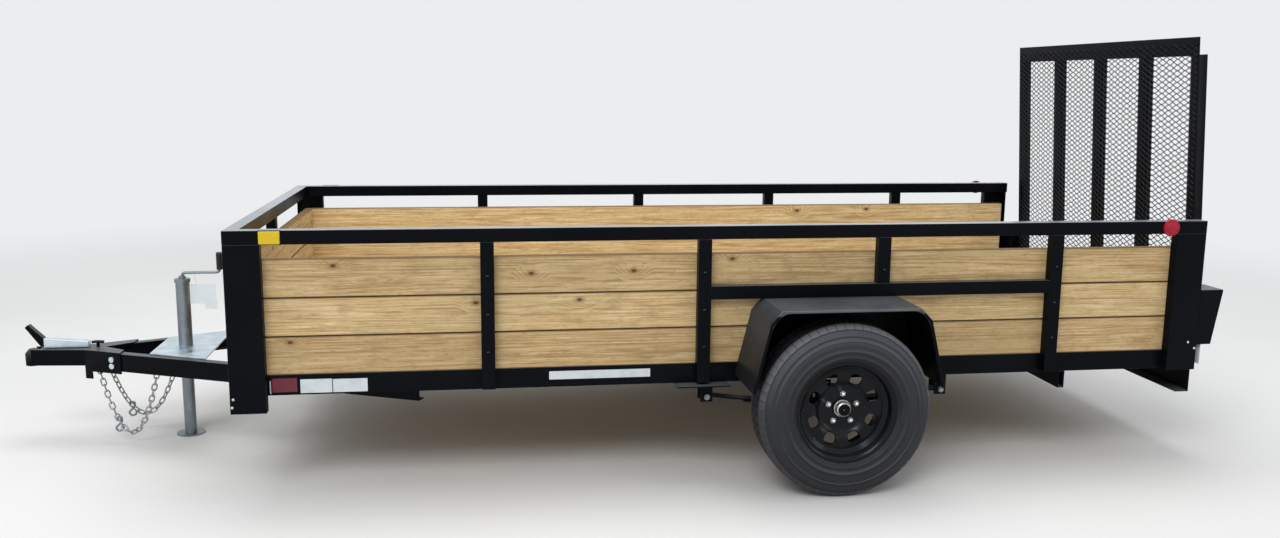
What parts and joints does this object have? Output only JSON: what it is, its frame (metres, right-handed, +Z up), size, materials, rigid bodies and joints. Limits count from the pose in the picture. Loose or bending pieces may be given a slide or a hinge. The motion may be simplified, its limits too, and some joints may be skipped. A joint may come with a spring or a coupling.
{
  "type": "utility trailer with board sides and a ramp gate",
  "caption": "Single-axle utility trailer with timber board sides, an upright mesh ramp gate that folds down, a tongue jack and a ball coupler.",
  "frame": {"origin": "on the ground below the centre of the whole trailer", "axes": "+X from the coupler to the ramp gate, +Z up, -Y the near side in the picture"},
  "size_m": [4.898, 2.26, 1.7328],
  "materials": {
    "black_steel": "satin black powder coat",
    "tyre": "moulded rubber",
    "rim_steel": "gloss black",
    "hub_steel": "bright steel",
    "chrome_nuts": "polished",
    "pine_boards": "sawn treated pine",
    "galvanised": "zinc plated",
    "zinc_chain": "zinc plated",
    "red_lens": "moulded lens",
    "amber_lens": "moulded lens",
    "white_plate": "plain",
    "white_card": "plain"
  },
  "bodies": {
    "chassis": {"amber_markers": "amber_lens", "axle": "black_steel", "axle_clamps": "black_steel", "blank_tag": "white_card", "corner_posts": "black_steel", "coupler": "black_steel", "coupler_bolts": "galvanised", "coupler_latch": "black_steel", "coupler_socket": "black_steel", "crossmembers": "black_steel", "deck_boards": "pine_boards", "fender_left": "black_steel", "fender_right": "black_steel", "front_boards": "pine_boards", "gate_hinges": "black_steel", "jack_crank": "galvanised", "jack_plate": "galvanised", "jack_tube": "galvanised", "lamp_boxes": "black_steel", "leaf_springs": "black_steel", "mid_rails": "black_steel", "plate_bracket": "white_plate", "rear_sill": "black_steel", "red_markers": "red_lens", "safety_chains": "zinc_chain", "side_boards_left": "pine_boards", "side_boards_right": "pine_boards", "side_rail_left": "black_steel", "side_rail_right": "black_steel", "side_reflectors": "red_lens", "spring_hangers": "black_steel", "stakes": "black_steel", "tail_lamps": "red_lens", "tongue_left": "black_steel", "tongue_right": "black_steel", "top_rail_front": "black_steel", "top_rail_left": "black_steel", "top_rail_right": "black_steel"},
    "wheel_left": {"hub_left": "hub_steel", "lug_nuts_left": "chrome_nuts", "rim_left": "rim_steel", "tyre_left": "tyre"},
    "wheel_right": {"hub_right": "hub_steel", "lug_nuts_right": "chrome_nuts", "rim_right": "rim_steel", "tyre_right": "tyre"},
    "gate": {"gate_frame": "black_steel", "gate_mesh": "black_steel"},
    "jack_ram": {"jack_leg": "galvanised"}
  },
  "joints": [
    {"name": "wheel_left_turn", "type": "hinge", "parent": "chassis", "child": "wheel_left", "pos_m": [0.797, -1.025, 0.3315], "axis": [0, 1, 0], "continuous": true},
    {"name": "wheel_right_turn", "type": "hinge", "parent": "chassis", "child": "wheel_right", "pos_m": [0.797, 1.025, 0.3315], "axis": [0, 1, 0], "continuous": true},
    {"name": "gate_fold", "type": "hinge", "parent": "chassis", "child": "gate", "pos_m": [2.429, 0, 0.452], "axis": [0, 1, 0], "range_deg": [0, 112]},
    {"name": "jack_lift", "type": "slide", "parent": "chassis", "child": "jack_ram", "axis": [0, 0, 1], "range_m": [0, 0.25]}
  ]
}
